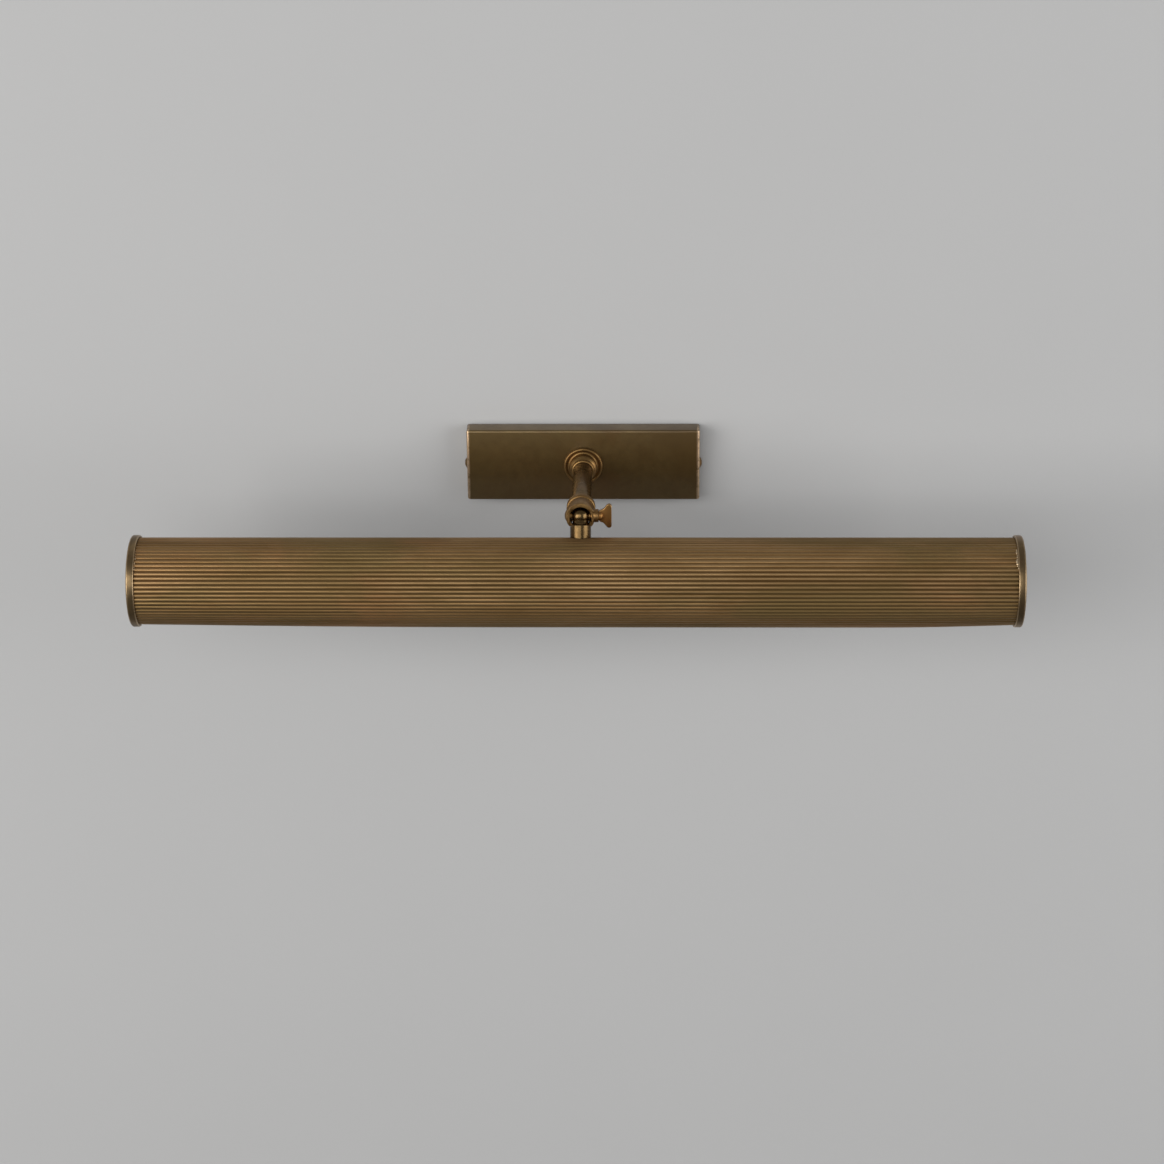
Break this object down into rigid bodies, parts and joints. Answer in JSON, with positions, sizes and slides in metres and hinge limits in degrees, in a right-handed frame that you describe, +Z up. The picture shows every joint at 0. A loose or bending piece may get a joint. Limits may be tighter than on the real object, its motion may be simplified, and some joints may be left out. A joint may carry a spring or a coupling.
{
  "type": "picture light",
  "caption": "Wall-mounted picture light: rectangular canopy, straight arm with clamped ball knuckle and wing screw, and a long reeded trough shade that tilts.",
  "frame": {"origin": "centre of the canopy's back face, where it meets the wall", "axes": "+X along the shade, to the side of the wing screw; +Y into the wall; +Z up"},
  "size_m": [0.55, 0.141, 0.0884],
  "materials": {
    "aged_brass": "hand-aged, satin",
    "canopy_brass": "dark patina, satin, worn bright on the end edges",
    "reeded_brass": "mottled patina on fine lengthwise reeds",
    "cap_brass": "patina with bright scuffs on the rim",
    "wing_brass": "warm, lightly polished by handling",
    "zinc_steel": "zinc plated",
    "black_rubber": "matte",
    "white_nylon": "moulded",
    "black_phenolic": "moulded, satin",
    "contact_brass": "bright",
    "lamp_cap_nickel": "rolled thread",
    "lamp_glass": "clear",
    "lead_insulation": "extruded insulation"
  },
  "bodies": {
    "wall_arm": {"canopy_cover": "canopy_brass", "wall_bracket": "zinc_steel", "cover_screws": "aged_brass", "cable_grommet": "black_rubber", "terminal_block": "white_nylon", "terminal_screws": "zinc_steel", "earth_screw": "zinc_steel", "hub_collar": "aged_brass", "arm_nipple": "aged_brass", "hub_washer": "zinc_steel", "hub_lock_nut": "zinc_steel", "arm_tube": "aged_brass", "arm_end_collar": "aged_brass", "knuckle_socket": "aged_brass", "clamp_boss": "aged_brass", "pivot_pin": "aged_brass", "arm_leads": "lead_insulation"},
    "friction_plug": {"friction_plug": "aged_brass"},
    "wing_screw": {"wing_screw": "wing_brass"},
    "shade_head": {"ball_stud": "aged_brass", "shade_nipple": "aged_brass", "saddle_washer": "zinc_steel", "shade_lock_nut": "zinc_steel", "shade": "reeded_brass", "end_cap_left": "cap_brass", "end_cap_right": "cap_brass", "lamp_rail": "zinc_steel", "lampholder_left": "black_phenolic", "lampholder_right": "black_phenolic", "lampholder_shell_left": "contact_brass", "lampholder_shell_right": "contact_brass", "centre_contact_left": "contact_brass", "centre_contact_right": "contact_brass", "lamp_cap_left": "lamp_cap_nickel", "lamp_cap_right": "lamp_cap_nickel", "holder_nut_left": "zinc_steel", "holder_nut_right": "zinc_steel", "lamp_glass_left": "lamp_glass", "lamp_glass_right": "lamp_glass", "shade_leads": "lead_insulation", "link_leads": "lead_insulation"}
  },
  "joints": [
    {"name": "shade_tilt", "type": "hinge", "parent": "wall_arm", "child": "shade_head", "pos_m": [0, -0.096, 0], "axis": [-1, 0, 0], "range_deg": [-24, 66]},
    {"name": "wing_screw_travel", "type": "slide", "parent": "wall_arm", "child": "friction_plug", "axis": [1, 0, 0], "range_m": [0, 0.0012]},
    {"name": "wing_screw_turn", "type": "hinge", "parent": "friction_plug", "child": "wing_screw", "pos_m": [0, -0.096, 0], "axis": [1, 0, 0], "range_deg": [0, 540]}
  ],
  "couplings": [
    {"joint": "wing_screw_turn", "follows": "wing_screw_travel", "rad_per_m": 7854}
  ]
}
